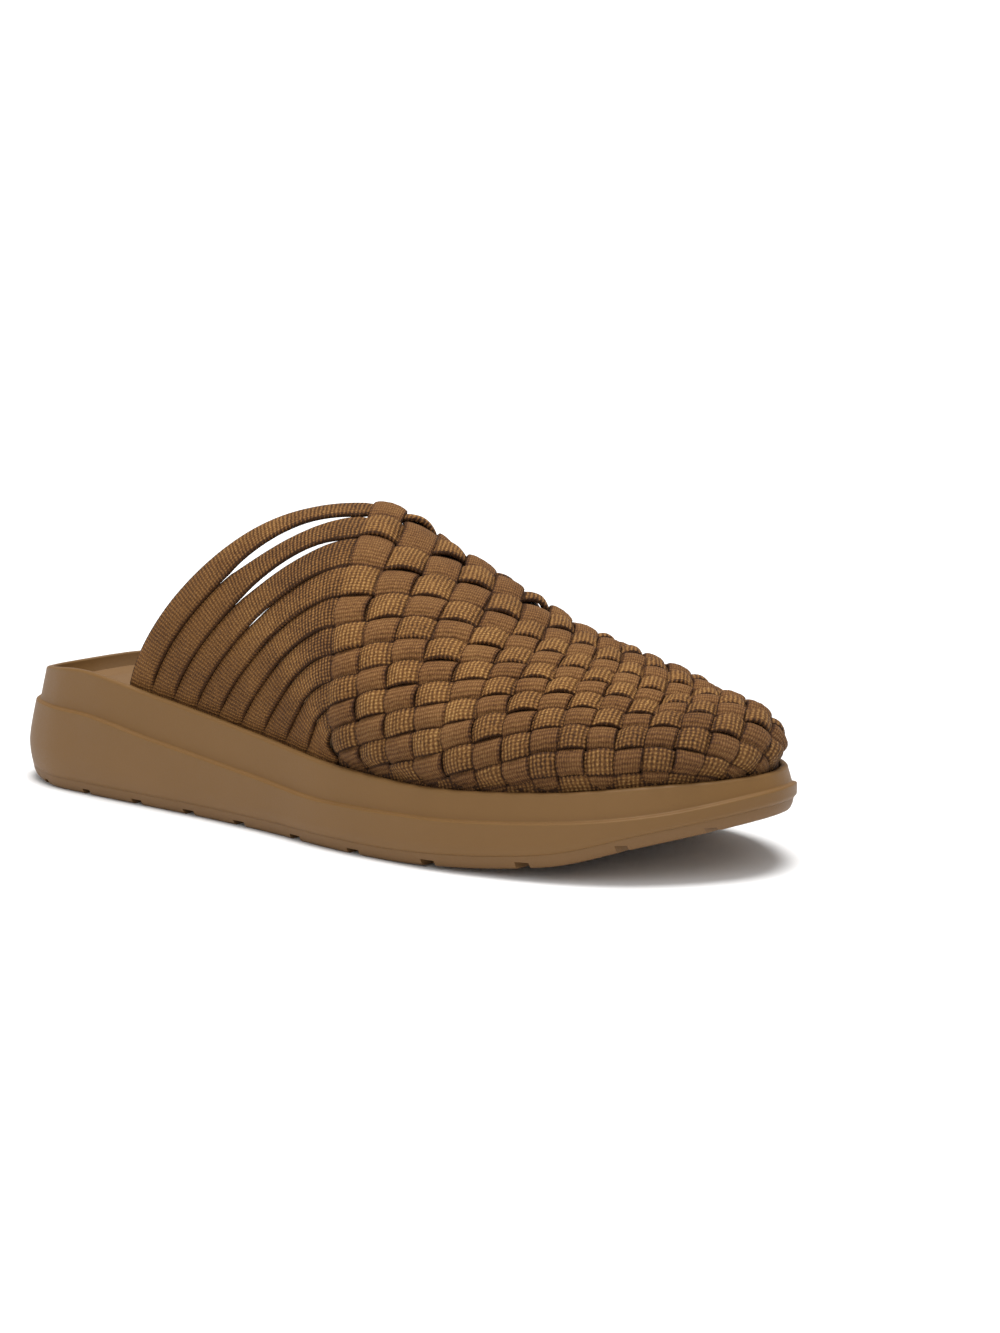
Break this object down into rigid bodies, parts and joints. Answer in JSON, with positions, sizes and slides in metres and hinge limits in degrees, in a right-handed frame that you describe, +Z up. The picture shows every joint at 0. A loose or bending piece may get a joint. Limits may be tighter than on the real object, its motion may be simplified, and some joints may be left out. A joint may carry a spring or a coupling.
{
  "type": "woven mule",
  "caption": "Backless slip-on shoe for the right foot, with a plain-woven webbing upper, free straps at the collar and a stepped foam sole.",
  "frame": {"origin": "on the ground plane under the middle of the shoe's bounding box", "axes": "+X towards the toe, +Y towards the inner (medial) side of the foot, +Z up"},
  "size_m": [0.29, 0.1044, 0.0992],
  "materials": {
    "outsole": "matte moulded",
    "midsole": "matte moulded foam",
    "footbed": "matte foam",
    "upper": "ribbed webbing"
  },
  "bodies": {
    "root": {"outsole": "outsole", "midsole": "midsole", "footbed": "footbed", "upper": "upper"}
  },
  "joints": []
}
